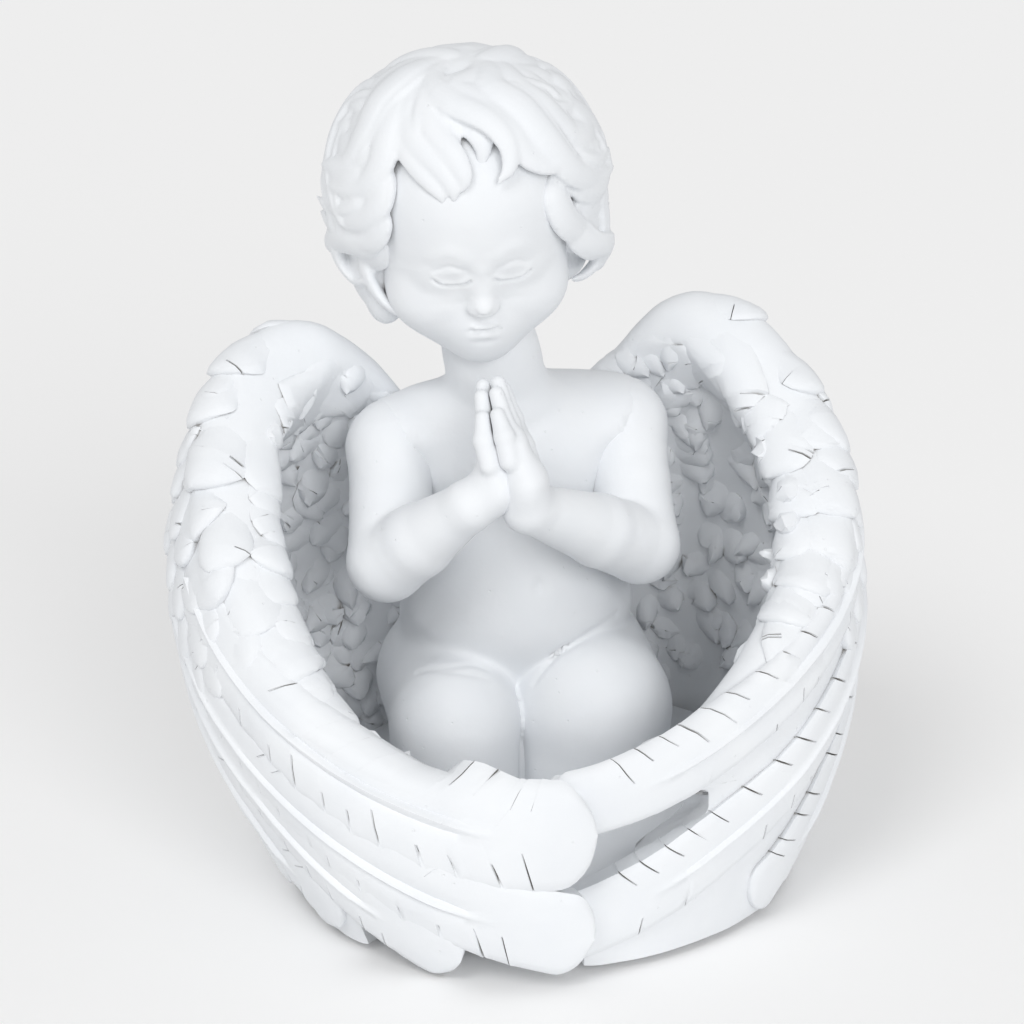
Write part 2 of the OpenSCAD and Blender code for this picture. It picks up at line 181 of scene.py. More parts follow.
class Wing:
    """One wing's skin, measured by angle from the spine and by the distance in millimetres
    from the leading edge's crest: positive down the outer face, negative down the inner."""

    STEP = 0.5       # millimetres between samples along a section
    REACH = 140      # how far down either face the table goes
    ANGLES = np.arange(10.0, 205.0, 1.0)

    def __init__(self, side):
        self.side = side
        rows = ROWS[side]
        d = np.arange(-self.REACH, self.REACH + self.STEP, self.STEP)
        table = np.empty((len(self.ANGLES), len(d), 2))
        self.length = np.empty((len(self.ANGLES), 2))
        for i, a in enumerate(self.ANGLES):
            r_e, z_e, thick, r_b, z_b, r_f = (column(rows, np.array([a]), c)[0] for c in range(1, 7))
            u = np.linspace(0, 1, 60)[:, None]
            arc = np.radians(np.linspace(90, 0, 24))[:, None]
            crest_out = np.hstack([r_e + thick * np.cos(arc), z_e + thick * np.sin(arc)])
            crest_in = np.hstack([r_e - thick * np.cos(arc), z_e + thick * np.sin(arc)])
            runs = []
            inner_foot = min(base_reach(side, a) - 1, r_f - WING_WALL)
            for crest, shift, foot in ((crest_out, 0, r_f), (crest_in, WING_WALL, inner_foot)):
                top, mid, low = crest[-1], vec(r_b - shift, z_b), vec(foot, FOOT_Z)
                ctrl = 2 * mid - (top + low) / 2
                fall = (1 - u)**2 * top + 2 * u * (1 - u) * ctrl + u * u * low
                line = np.vstack([crest, fall[1:]])
                far = np.concatenate([[0], np.cumsum(np.linalg.norm(np.diff(line, axis=0), axis=1))])
                runs.append((line, far))
            for half, (line, far) in zip((d >= 0, d < 0), runs):
                for c in range(2):
                    table[i, half, c] = np.interp(np.abs(d[half]), far, line[:, c])
                past = np.abs(d[half]) > far[-1]
                table[i, np.where(half)[0][past], 1] -= np.abs(d[half])[past] - far[-1]
            self.length[i] = runs[0][1][-1], runs[1][1][-1]
        self.table = table

    def face_length(self, a, inner=False):
        return np.interp(a, self.ANGLES, self.length[:, 1 if inner else 0])

    def at(self, a, d):
        a, d = np.broadcast_arrays(np.asarray(a, float), np.asarray(d, float))
        i = np.clip((a - self.ANGLES[0]), 0, len(self.ANGLES) - 1.001)
        j = np.clip((d + self.REACH) / self.STEP, 0, self.table.shape[1] - 1.001)
        i0, j0 = i.astype(int), j.astype(int)
        fi, fj = (i - i0)[..., None], (j - j0)[..., None]
        t = self.table
        rz = ((t[i0, j0] * (1 - fj) + t[i0, j0 + 1] * fj) * (1 - fi)
              + (t[i0 + 1, j0] * (1 - fj) + t[i0 + 1, j0 + 1] * fj) * fi)
        turn = np.radians(a)
        return np.stack([self.side * rz[..., 0] * np.sin(turn), rz[..., 0] * np.cos(turn),
                         rz[..., 1]], -1)

    def frame(self, a, d):
        """Point, the two tangents per degree and per millimetre, and the outward normal."""
        ta = (self.at(a + 0.75, d) - self.at(a - 0.75, d)) / 1.5
        td = (self.at(a, d + 0.75) - self.at(a, d - 0.75)) / 1.5
        n = unit(np.cross(ta, td)) * self.side
        return self.at(a, d), ta, td, n

    def lay(self, a, d, step):
        """Angle and distance steps that move along the skin by the vector step."""
        _, ta, td, _ = self.frame(a, d)
        aa, ad, dd = (ta * ta).sum(-1), (ta * td).sum(-1), (td * td).sum(-1)
        sa, sd = (step * ta).sum(-1), (step * td).sum(-1)
        det = np.maximum(aa * dd - ad * ad, 1e-6)
        return (sa * dd - sd * ad) / det, (sd * aa - sa * ad) / det

    def down_to(self, a, z):
        """Distance down the outer face at which the skin is at height z."""
        found = []
        for a1, z1 in zip(np.atleast_1d(a), np.atleast_1d(z)):
            d = np.arange(0, self.REACH, 0.5)
            heights = self.at(np.full(len(d), a1), d)[:, 2]
            found.append(np.interp(-z1, -heights, d))
        return np.array(found)


LONG_ROWS = np.array([-1, -0.985, -0.92, -0.75, -0.5, -0.25, -0.11, -0.07, -0.035, 0, 0.035, 0.07,
                      0.11, 0.25, 0.5, 0.75, 0.92, 0.985, 1])
SHORT_ROWS = np.array([-1, -0.97, -0.82, -0.5, -0.18, 0, 0.18, 0.5, 0.82, 0.97, 1])
TUFT_ROWS = np.array([-1, -0.65, 0, 0.65, 1])


def feather(wing, path, widths, heights, tip, depth, rows, tip_cuts=8, slits=(), quill=None,
            slant=0.0, lean=0.0, cup=0.6, rough=0.12, seed=0.0, stands=None):
    """One feather as a closed slab on a wing's skin, root first.

    path: angle and distance of each station along the quill. widths, heights and depth: half
    width, height over the skin and thickness below it at those stations. tip: share of the
    length where the round end begins. slits: barb splits, each its share of the length, its
    side, how far in it runs and half its width as a share of the length. quill: the ridge's
    half width, its height and the share of the length where it fades. lean lifts one side.
    stands: angles between which the web stops wrapping over the leading edge and stands up.
    """
    base = np.linspace(0, 1, len(path))
    round_end = tip + (1 - tip) * np.sin(np.linspace(0.1, 1, tip_cuts) * math.pi / 2)
    share = list(np.linspace(0, tip, len(path))) + list(round_end)
    for where, _, _, gap in slits:
        share += [where - gap, where, where + gap]
    share = np.unique(np.clip(np.round(share, 5), 0, 1))
    mid = np.stack([np.interp(share, base, path[:, 0]), np.interp(share, base, path[:, 1])], -1)
    end = np.clip((share - tip) / (1 - tip), 0, 1)
    half = np.interp(share, base, widths) * np.sqrt(np.clip(1 - end**2.2, 0, 1)) + 0.03
    rise = np.interp(share, base, heights)
    here, _, _, normal = wing.frame(mid[:, 0], mid[:, 1])
    along = unit(np.gradient(here, axis=0))
    across = unit(np.cross(normal, along))

    bm, col, row = sheet_grid(len(rows), len(share))
    s, t = rows[row], share[col]
    edge = np.abs(s)
    out = s * half[col]
    barb = edge**0.9 * half[col] * slant * (1 - smooth(tip - 0.2, tip + 0.1, t))
    step = across[col] * out[:, None] + along[col] * barb[:, None]
    da, dd = wing.lay(mid[col, 0], mid[col, 1], step)
    a, d = mid[col, 0] + da, mid[col, 1] + dd
    least = -30 + 34 * smooth(*stands, a) if stands else np.full(len(a), -200.0)
    skin, _, td, n = wing.frame(a, np.maximum(d, least))
    skin = skin - unit(td) * np.maximum(least - d, 0)[:, None]
    h = rise[col] * (1 - cup * edge**2.4) + lean * s * np.minimum(half[col] / 6, 1)
    h -= 0.45 * smooth(0.93, 1.0, edge) + 0.45 * smooth(0.94, 1.0, t)
    if quill:
        wide, high, fades = quill
        x = np.abs(out)
        left = 1 - smooth(fades - 0.12, fades, t)
        groove = np.exp(-((x - 2.1 * wide) / (0.6 * wide))**2)
        h += left * high * (np.exp(-(x / wide)**2) - 0.8 * groove)
    for where, which, into, gap in slits:
        open_ = smooth(1 - into, 1.15 - into, s * which)
        at_split = np.abs(t - where) < 2e-5
        h -= at_split * open_ * 1.0
        h += ~at_split * open_ * 0.2 * np.clip(1 - np.abs(t - where) / (6 * gap), 0, 1)
    h += rough * wobble(skin, 3.5, seed) + 0.8 * rough * wobble(skin, 9.0, seed + 3)
    under = skin - n * np.interp(t, base, depth)[:, None]
    under = here[col] + (under - here[col]) * (1 - 0.15 * smooth(0.8, 1, edge))[:, None]
    top = skin + n * h[:, None]

    low = list(bm.verts)
    spot_of = {(round(v.co.x, 4), round(v.co.y, 4)): i for i, v in enumerate(low)}
    made = bmesh.ops.extrude_face_region(bm, geom=bm.faces[:])
    for v in made["geom"]:
        if isinstance(v, bmesh.types.BMVert):
            v.co = top[spot_of[(round(v.co.x, 4), round(v.co.y, 4))]]
    for v, p in zip(low, under):
        v.co = p
    return bm


# The long feathers: start angle and height, tip angle and height, sag, half width. All are the
# CAD's, but the right wing's second is half a millimetre wider to each side.
LONG = {
    RIGHT: [((98, 75), (180, 35.5), 12, 11.5), ((92, 64), (180, 12), 9, 9.5),
            ((88, 62), (156, 6), 6, 8), ((82, 58), (128, 6), 3, 8), ((74, 56), (104, 6), 1, 8),
            ((62, 54), (84, 6), 0, 8), ((50, 52), (64, 6), 0, 7.5), ((38, 50), (46, 6), 0, 7)],
    LEFT: [((98, 80), (187, 38), 8, 7), ((92, 72), (187, 10.5), 9, 7.5),
           ((88, 64), (141, 7), 5, 8), ((82, 58), (112, 8), 3, 8), ((72, 56), (94, 6), 1, 8),
           ((60, 54), (78, 6), 0, 8), ((48, 52), (62, 6), 0, 7.5), ((38, 50), (45, 6), 0, 7)],
}


def long_feather(wing, start, tip_at, sag, half, lift, rng):
    """A primary or secondary: it runs from under the coverts to its round tip."""
    t = np.linspace(0, 1, 30)
    a = start[0] + (tip_at[0] - start[0]) * t
    z = start[1] + (tip_at[1] - start[1]) * t - 4 * sag * t * (1 - t)
    d = wing.down_to(a, z)
    length = np.linalg.norm(np.diff(wing.at(a, d), axis=0), axis=1).sum()
    widths = half * (0.6 + 0.4 * smooth(0, 0.7, t))
    heights = lift * (0.3 + 0.7 * smooth(0.0, 0.3, t)) + 0.5
    free = smooth(WING_END[wing.side] - 16, WING_END[wing.side] - 3, a)
    slits, at, gap = [], 0.14, 0.26 / length
    while at < 0.84:
        slits.append((at, -1, rng.uniform(0.3, 0.7), gap))
        if rng.random() < 0.45:
            slits.append((at + rng.uniform(1.5, 3.5) / length, 1, rng.uniform(0.2, 0.45), gap))
        at += rng.uniform(5.0, 9.5) / length
    return feather(wing, np.stack([a, d], -1), widths, heights, 1 - 1.0 * half / length,
                   2.5 + 3.4 * free, LONG_ROWS, slits=slits, quill=(0.55, 0.8, 0.8), slant=0.7,
                   cup=0.35, seed=rng.random() * 50, stands=(134, 158))


def short_feather(wing, a, d, way, length, half, rise, rng, rows=SHORT_ROWS, stations=6,
                  buried=1.0, cup=0.55, rough=0.14, splits=(0, 1, 1, 2), curl=0.15, lean=0.0):
    """A covert or a tuft of down. way turns it from straight down the face to the tips."""
    _, ta, td, normal = (x[0] for x in wing.frame(np.array([a]), np.array([d])))
    down = unit(td) * (1 if d >= 0 else -1)
    across = unit(np.cross(normal, down))
    across *= np.sign(np.dot(across, ta)) or 1
    go = down * math.cos(math.radians(way)) + across * math.sin(math.radians(way))
    da, dd = wing.lay(np.array([a]), np.array([d]), go[None] * length)
    t = np.linspace(0, 1, stations)
    side_da, side_dd = wing.lay(np.array([a]), np.array([d]), np.cross(normal, go)[None] * length)
    bend = rng.uniform(-curl, curl) * 4 * t * (1 - t)
    path = np.stack([a + da[0] * t + side_da[0] * bend, d + dd[0] * t + side_dd[0] * bend], -1)
    widths = half * (0.6 + 0.4 * smooth(0, 0.5, t))
    heights = -buried + (rise + buried) * smooth(-0.1, 0.9, t)
    slits = [(rng.uniform(0.55, 0.85), rng.choice([-1, 1]), rng.uniform(0.2, 0.5), 0.16 / length)
             for _ in range(rng.choice(splits))]
    return feather(wing, path, widths, heights, 0.5, np.full(stations, 2.0), rows,
                   tip_cuts=stations, slits=slits, slant=0.25, cup=cup, rough=rough, lean=lean,
                   seed=rng.random() * 50)


def wing_core(wing):
    """The wall under the feathers: a closed ring at every angle, joined round the nest."""
    stations, ring = 100, 130
    bm, col, row = sheet_grid(ring + 1, stations)
    share = (row % ring) / (ring - 1)
    along = col / (stations - 1)

    def lay_out(last):
        a = WING_START + (last - WING_START) * along
        return a, -wing.face_length(a, inner=True) * (1 - share) + wing.face_length(a) * share

    # the wall's end is notched between the two longest feathers, and goes on under both
    last = WING_END[wing.side]
    z = wing.at(*lay_out(last))[:, 2]
    off = np.abs(z - NOTCH_Z[wing.side])
    notch = NOTCH_DEEP[wing.side]
    a, d = lay_out(last - notch + (notch + 9) * smooth(1.5, 8, off) * smooth(7, 12, z)
                   - FOOT_CUT[wing.side] * smooth(12, 7, z))
    skin, _, _, n = wing.frame(a, d)
    ends = smooth(0, 0.02, col / (stations - 1)) * smooth(1, 0.985, col / (stations - 1))
    place(bm, skin + n * (0.25 * wobble(skin, 6.0, 5) - 0.5 * (1 - ends))[:, None])
    bmesh.ops.remove_doubles(bm, verts=bm.verts, dist=0.001)
    bmesh.ops.holes_fill(bm, edges=[e for e in bm.edges if e.is_boundary], sides=0)
    return bm


def flow(a):
    """Degrees that the feathers turn from straight down, by how far forward they lie."""
    return float(np.interp(a, [25, 45, 70, 90, 105, 120, 150], [4, 10, 24, 40, 54, 66, 80]))


def step_along(wing, a, d, millimetres):
    """Next angle that many millimetres further forward along the wing."""
    ta = wing.frame(np.array([a]), np.array([d]))[1][0]
    return a + millimetres / np.linalg.norm(ta)


def wing_root(side):
    """The shoulder of the wing: it carries the wing on the back, over both dowels."""
    forms = [limb((side * 9, 21, 88), 7, (side * 19, 29, 87), 7.5, 4),
             limb((side * 10, 22, 79), 6.5, (side * 19, 31, 74), 7.5, 4),
             limb((side * 14, 25, 86), 6.5, (side * 14.5, 27, 76), 6.5, 6),
             limb((side * 19, 30, 86), 7, (side * 20, 33, 60), 4.5, 5)]
    return skin_over(forms, ROOT_NET, passes=4)


def build_wing(side, name, node, material):
    wing = Wing(side)
    rng = random.Random(7 + side)
    bm = wing_core(wing)
    join_into(bm, wing_root(side))
    for k, (start, tip_at, sag, half) in enumerate(LONG[side]):
        join_into(bm, long_feather(wing, start, tip_at, sag, half, 1.9 - 0.22 * min(k, 4), rng))
    # rows of coverts on the outer face, lowest first so that the upper rows lie over them
    for k, (d, a_end, length, half) in enumerate([
            (50, 92, 19, 6.2), (39, 100, 18, 6.0), (28, 108, 17, 5.6), (18, 114, 15, 5.2)]):
        a = WING_START + 6 + 3 * (k % 2)
        while a < a_end:
            drop = d * float(np.interp(a, [25, 60, 120], [0.9, 1.0, 0.85]))
            join_into(bm, short_feather(wing, a, drop, flow(a) + rng.uniform(-7, 7),
                                        length * rng.uniform(0.9, 1.1), half * rng.uniform(0.9, 1.1),
                                        2.1, rng, cup=0.4))
            a = step_along(wing, a, drop, half * 1.75)
    # the leading edge's own band, its feathers running down along the edge
    for k, d in enumerate([9, 0.5, -8]):
        a = 47 + 3 * k
        while a < 122:
            way = flow(a) * 1.15 + (8 if d < 0 else 0)
            join_into(bm, short_feather(wing, a, d + rng.uniform(-1.5, 1.5), way + rng.uniform(-12, 12),
                                        rng.uniform(14, 21), rng.uniform(5.6, 8.0),
                                        rng.uniform(1.6, 2.6), rng, cup=0.4, splits=(1, 2, 3)))
            a = step_along(wing, a, d, rng.uniform(8.5, 12))
    # down on the inner face
    for k, d in enumerate(np.arange(-13, -92, -6.2)):
        a = 30 + 2.5 * (k % 2)
        while a < 140:
            if wing.at(a, d)[2] > FLOOR_Z + 2:
                join_into(bm, short_feather(wing, a + rng.uniform(-1.5, 1.5), d + rng.uniform(-2, 2),
                                            flow(a) * 0.7 + rng.gauss(0, 38), rng.uniform(6.5, 12),
                                            rng.uniform(2.3, 4.6), rng.uniform(1.0, 3.6), rng,
                                            rows=TUFT_ROWS, stations=4, cup=0.85, rough=0.3,
                                            splits=(0, 0, 1), curl=0.35,
                                            lean=rng.uniform(-0.9, 0.9)))
            a = step_along(wing, a, d, 6.6)
    fit_inside(bm, node)
    return cast(name, bm, material, node)


def fit_inside(bm, node):
    """Draw a mesh in towards the nest's axis where it stands out of its CAD node's box."""
    low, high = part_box(node)
    points = spots(bm)
    for c in range(2):
        for edge, far in ((low[c] / MM, points[:, c].min()), (high[c] / MM, points[:, c].max())):
            share = min(1.0, (abs(edge) - 0.02) / abs(far)) if abs(far) > 20 else 1.0
            outside = points[:, c] * np.sign(far) > 0
            points[outside, c] *= share
    place(bm, points)


# ---------------------------------------------------------------- materials

def linear(hex_colour):
    """sRGB hex to the linear values that shaders use."""
    parts = [int(hex_colour[i:i + 2], 16) / 255 for i in (1, 3, 5)]
    return tuple(c / 12.92 if c <= 0.04045 else ((c + 0.055) / 1.055) ** 2.4 for c in parts) + (1,)


def add(mat, kind, links=(), **settings):
    """Add a node: settings are its properties, or its inputs by name; links are
    (own input, other node, other node's output)."""
    node = mat.node_tree.nodes.new(kind)
    for name, value in settings.items():
        if hasattr(node, name):
            setattr(node, name, value)
        else:
            node.inputs[name.replace("_", " ")].default_value = value
    for own, other, output in links:
        mat.node_tree.links.new(other.outputs[output], node.inputs[own])
    return node


def fresh(name):
    mat = bpy.data.materials.new(name)
    mat.use_nodes = True
    return mat, mat.node_tree.nodes["Principled BSDF"]


def per_mm(size):
    """Scale of a pattern on Object coordinates, in metres, whose grain is size millimetres."""
    return 1000.0 / size


def painted_resin(name, painted_shade, shut=0.34):
    """Polyresin cast in a rubber mould, then sprayed matt white: a soft, chalky skin with a
    slight orange peel, a few burst air bubbles, and painted shade darkening the deepest creases."""
    mat, shader = fresh(name)
    place = add(mat, "ShaderNodeTexCoord")
    cloud = add(mat, "ShaderNodeTexNoise", [("Vector", place, "Object")], Scale=per_mm(14), Detail=3)
    tint = add(mat, "ShaderNodeMix", [("Factor", cloud, "Fac")], data_type="RGBA")
    tint.inputs["A"].default_value = linear("#e3e6ea")
    tint.inputs["B"].default_value = linear("#eceef0")
    # painted shade: ambient occlusion turns the base colour grey-brown in deep creases and between
    # feathers, where shade falls
    nook = add(mat, "ShaderNodeAmbientOcclusion", samples=6, only_local=False, Distance=0.0028)
    deep = add(mat, "ShaderNodeMapRange", [("Value", nook, "AO")], interpolation_type="SMOOTHSTEP")
    for key, value in (("From Min", shut), ("From Max", 0.1), ("To Min", 0.0), ("To Max", painted_shade)):
        deep.inputs[key].default_value = value
    crease_shade = add(mat, "ShaderNodeMix", [("Factor", deep, "Result"), ("A", tint, "Result")],
                data_type="RGBA")
    crease_shade.inputs["B"].default_value = linear("#7f776c")
    mat.node_tree.links.new(crease_shade.outputs["Result"], shader.inputs["Base Color"])

    sheen = add(mat, "ShaderNodeTexNoise", [("Vector", place, "Object")], Scale=per_mm(5), Detail=2)
    matt = add(mat, "ShaderNodeMapRange", [("Value", sheen, "Fac")])
    for key, value in (("From Min", 0.3), ("From Max", 0.7), ("To Min", 0.58), ("To Max", 0.72)):
        matt.inputs[key].default_value = value
    mat.node_tree.links.new(matt.outputs["Result"], shader.inputs["Roughness"])

    peel = add(mat, "ShaderNodeTexNoise", [("Vector", place, "Object")], Scale=per_mm(0.9), Detail=3)
    wave = add(mat, "ShaderNodeTexNoise", [("Vector", place, "Object")], Scale=per_mm(4), Detail=1)
    bubble = add(mat, "ShaderNodeTexVoronoi", [("Vector", place, "Object")], Scale=per_mm(4.5))
    pit = add(mat, "ShaderNodeMapRange", [("Value", bubble, "Distance")],
              interpolation_type="SMOOTHSTEP")
    for key, value in (("From Min", 0.03), ("From Max", 0.07), ("To Min", 0.0), ("To Max", 1.0)):
        pit.inputs[key].default_value = value
    first = add(mat, "ShaderNodeBump", [("Height", wave, "Fac")], Strength=0.25, Distance=0.0004)
    second = add(mat, "ShaderNodeBump", [("Height", peel, "Fac"), ("Normal", first, "Normal")],
                 Strength=0.22, Distance=0.00012)
    third = add(mat, "ShaderNodeBump", [("Height", pit, "Result"), ("Normal", second, "Normal")],
                Strength=0.5, Distance=0.0002)
    mat.node_tree.links.new(third.outputs["Normal"], shader.inputs["Normal"])
    return mat


def ground_steel():
    """Cold drawn steel rod, ground: fine scratches round it and a thin bloom of oxide."""
    mat, shader = fresh("ground steel rod")
    place = add(mat, "ShaderNodeTexCoord")
    line = add(mat, "ShaderNodeTexNoise", [("Vector", place, "Object")], Scale=per_mm(0.35), Detail=4)
    tone = add(mat, "ShaderNodeMix", [("Factor", line, "Fac")], data_type="RGBA")
    tone.inputs["A"].default_value = linear("#9b9da0")
    tone.inputs["B"].default_value = linear("#c2c4c6")
    mat.node_tree.links.new(tone.outputs["Result"], shader.inputs["Base Color"])
    scratch = add(mat, "ShaderNodeBump", [("Height", line, "Fac")], Strength=0.3, Distance=0.00003)
    mat.node_tree.links.new(scratch.outputs["Normal"], shader.inputs["Normal"])
    shader.inputs["Metallic"].default_value = 1.0
    shader.inputs["Roughness"].default_value = 0.32
    return mat


def pressed_felt():
    """Grey wool and viscose felt, pressed flat: short crossed fibres, no shine at all."""
    mat, shader = fresh("pressed grey felt")
    place = add(mat, "ShaderNodeTexCoord")
    fibre = add(mat, "ShaderNodeTexNoise", [("Vector", place, "Object")], Scale=per_mm(0.45),
                Detail=6, Roughness=0.75, Distortion=1.2)
    tone = add(mat, "ShaderNodeMix", [("Factor", fibre, "Fac")], data_type="RGBA")
    tone.inputs["A"].default_value = linear("#55565a")
    tone.inputs["B"].default_value = linear("#8a8b8e")
    mat.node_tree.links.new(tone.outputs["Result"], shader.inputs["Base Color"])
    nap = add(mat, "ShaderNodeBump", [("Height", fibre, "Fac")], Strength=0.8, Distance=0.0003)
    mat.node_tree.links.new(nap.outputs["Normal"], shader.inputs["Normal"])
    shader.inputs["Roughness"].default_value = 0.95
    shader.inputs["Sheen Weight"].default_value = 0.3
    return mat


def bare_resin():
    """Unpainted polyresin poured into the drain hole: off-white, with marble-powder clouds."""
    mat, shader = fresh("unpainted polyresin")
    place = add(mat, "ShaderNodeTexCoord")
    powder = add(mat, "ShaderNodeTexNoise", [("Vector", place, "Object")], Scale=per_mm(2.5), Detail=5)
    tone = add(mat, "ShaderNodeMix", [("Factor", powder, "Fac")], data_type="RGBA")
    tone.inputs["A"].default_value = linear("#d3d0c8")
    tone.inputs["B"].default_value = linear("#e4e2dc")
    mat.node_tree.links.new(tone.outputs["Result"], shader.inputs["Base Color"])
    grit = add(mat, "ShaderNodeBump", [("Height", powder, "Fac")], Strength=0.3, Distance=0.0002)
    mat.node_tree.links.new(grit.outputs["Normal"], shader.inputs["Normal"])
    shader.inputs["Roughness"].default_value = 0.5
    return mat


def refinish(material, *nodes):
    """Give CAD parts that stay as they are their finish."""
    for name in nodes:
        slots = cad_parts[name].material_slots
        for slot in slots:
            slot.material = material


# ---------------------------------------------------------------- soft forms

def limb(p, rp, q, rq, blend=4.0):
    """A form from p to q that swells from half widths rp to rq. A half width is one number or
    three, along X, Y and Z. blend: how widely it melts into what stands before it, in mm."""
    return vec(*p), np.ones(3) * rp, vec(*q), np.ones(3) * rq, blend


def ball(p, r, blend=4.0):
    return limb(p, r, p, r, blend)


def reach(points, form):
    """Signed distance of each point from one form, negative inside it."""
    p, rp, q, rq, _ = form
    axis = q - p
    span = max(axis @ axis, 1e-9)
    t = np.clip(((points - p) @ axis) / span, 0, 1)[:, None]
    off = points - (p + axis * t)
    r = rp + (rq - rp) * t
    k0 = np.linalg.norm(off / r, axis=1)
    k1 = np.linalg.norm(off / (r * r), axis=1)
    return k0 * (k0 - 1) / np.maximum(k1, 1e-6)


def melted(points, forms):
    """Signed distance from all the forms, each melted into those before it."""
    whole = reach(points, forms[0])
    for form in forms[1:]:
        d, k = reach(points, form), form[4]
        h = np.clip(0.5 + 0.5 * (whole - d) / k, 0, 1)
        whole = whole * (1 - h) + d * h - k * h * (1 - h)
    return whole


def rough_union(forms, voxel, swell=0.2):
    """Closed mesh round all the forms, from joined balls: where the skin starts from."""
    bm = bmesh.new()
    for p, rp, q, rq, _ in forms:
        steps = 1 + int(np.linalg.norm(q - p) / (0.35 * min(rp.min(), rq.min())))
        for i in range(steps + (steps > 1)):
            t = i / max(steps, 1)
            made = bmesh.ops.create_icosphere(bm, subdivisions=3, radius=1)
            bmesh.ops.scale(bm, vec=tuple(rp + (rq - rp) * t + swell), verts=made["verts"])
            bmesh.ops.translate(bm, vec=tuple(p + (q - p) * t), verts=made["verts"])
    return remeshed(bm, voxel)


def remeshed(bm, voxel):
    """One skin round everything in the mesh, of squares about a voxel wide, in mm."""
    mesh = bpy.data.meshes.new("rough")
    bm.to_mesh(mesh)
    bm.free()
    ob = bpy.data.objects.new("rough", mesh)
    bpy.context.scene.collection.objects.link(ob)
    remesh = ob.modifiers.new("remesh", "REMESH")
    remesh.mode, remesh.voxel_size, remesh.adaptivity = "VOXEL", voxel, 0
    done = bmesh.new()
    done.from_object(ob, bpy.context.evaluated_depsgraph_get())
    bpy.data.objects.remove(ob)
    bpy.data.meshes.remove(mesh)
    return done


def skin_over(forms, voxel, field=None, passes=5):
    """Mesh on the melted forms: each point slides to the surface, then the net is eased."""
    bm = rough_union(forms, voxel)
    field = field or (lambda points: melted(points, forms))
    for k in range(passes):
        if k:
            bmesh.ops.smooth_vert(bm, verts=bm.verts, factor=0.5, use_axis_x=True,
                                  use_axis_y=True, use_axis_z=True)
        points = spots(bm)
        for _ in range(2 if k in (0, passes - 1) else 1):
            points = slide(points, field)
        place(bm, points)
    return bm


def slope_of(points, field, value, e=0.05):
    return np.stack([(field(points + e * axis) - value) / e for axis in np.eye(3)], -1)


def slide(points, field, most=1.5):
    value = field(points)
    grad = slope_of(points, field, value)
    step = value[:, None] * grad / np.maximum((grad * grad).sum(1), 0.2)[:, None]
    size = np.linalg.norm(step, axis=1, keepdims=True)
    return points - step * np.minimum(1, most / np.maximum(size, 1e-9))


def stroke(points, path, wide, steps=24, field=None):
    """Strength, 0 to 1, of a soft stroke along a curve through path: 1 on it, and nought
    some two widths away. Its ends fade. The curve settles on the field's skin, if given."""
    path = np.array(path, float)
    t = np.linspace(0, len(path) - 1, steps)
    line = np.stack([curve_through(path[:, c], t) for c in range(path.shape[1])], -1)
    for _ in range(6 if field else 0):
        line = slide(line, field)
    best = np.zeros(len(points))
    for i, p in enumerate(line):
        fade = math.sin(math.pi * (0.12 + 0.76 * i / (steps - 1))) ** 0.5
        d2 = ((points - p) ** 2).sum(1)
        best = np.maximum(best, fade * np.exp(-d2 / wide**2))
    return best


def curve_through(values, t):
    """Smooth curve through evenly numbered values (Catmull and Rom's)."""
    v = np.concatenate([[2 * values[0] - values[1]], values, [2 * values[-1] - values[-2]]])
    k = np.clip(np.floor(t).astype(int), 0, len(values) - 2)
    f = t - k
    a, b, c, d = v[k], v[k + 1], v[k + 2], v[k + 3]
    return 0.5 * (2 * b + (c - a) * f + (2 * a - 5 * b + 4 * c - d) * f**2
                  + (3 * b - a - 3 * c + d) * f**3)


def push(bm, amount):
    """Move every vertex along its normal by its own amount in millimetres."""
    bm.normal_update()
    n = np.array([v.normal[:] for v in bm.verts])
    place(bm, spots(bm) + n * amount[:, None])


# ---------------------------------------------------------------- the child's body

HIPS = limb((2.5, 15, 38), (26, 20, 18), (2.5, 9, 56), (22.5, 18, 15))
BELLY = limb((2.5, 8, 57), (22.5, 18, 14), (1.5, 8.5, 80), (19, 15.5, 14), 10)
TORSO = [
    HIPS, BELLY,
    ball((2.5, -1, 63), (14, 10, 13), 9),                       # round belly
    limb((-7.5, 5, 90), (11, 10.5, 9), (9.5, 6, 91), (11, 10.5, 9), 9),     # breast
    limb((-16, 11, 93), 9, (18.5, 12, 94), 9, 8),               # shoulders
    limb((-6, 17, 88), (9, 8, 12), (8, 18, 88), (9, 8, 12), 8),     # shoulder blades
    limb((0.5, 8, 96), 11.5, (-4, 3, 113), 9.3, 9),             # neck
    limb((-4, 3, 113), 9.3, (-6, 3, 121), 9.5, 3),
    ball((-8.5, 25, 37), (14, 13.5, 14), 3),                    # buttocks
    ball((13, 25, 37), (14, 13.5, 14), 2),
]
LEGS = [
    limb((-11, 15, 38), 15.6, (-15.2, -9, 37), 13.4, 3),
    limb((-15.2, -9, 37), 13.4, (-15, -8.5, 20), 13.6, 2),
    limb((16, 14, 38.5), 17, (14.8, -8, 37), 17.0, 1.2),
    limb((14.8, -8, 37), 16.6, (14.8, -8, 20), 16.2, 1.2),
    limb((-15, -6, 29), 12, (-11, 30, 26), 8, 3),
    limb((15.5, -6, 29), 12, (12.5, 30, 26), 8, 3),
]
FEET = [limb((side * 11.5 + 1, 29, 26), (6.8, 7, 7), (side * 9.5 + 1, 40, 24.5), (6.6, 5.5, 4.6), 4)
        for side in (RIGHT, LEFT)]


def toes():
    made = []
    for side in (RIGHT, LEFT):
        for i, r in enumerate((2.3, 1.9, 1.75, 1.6, 1.45)):
            x = side * (4.6 + 2.55 * i) + 1
            made.append(limb((x, 40.5 - 0.5 * i, 23.6), r, (x, 43.6 - 0.75 * i, 23), r, 0.9))
    return made


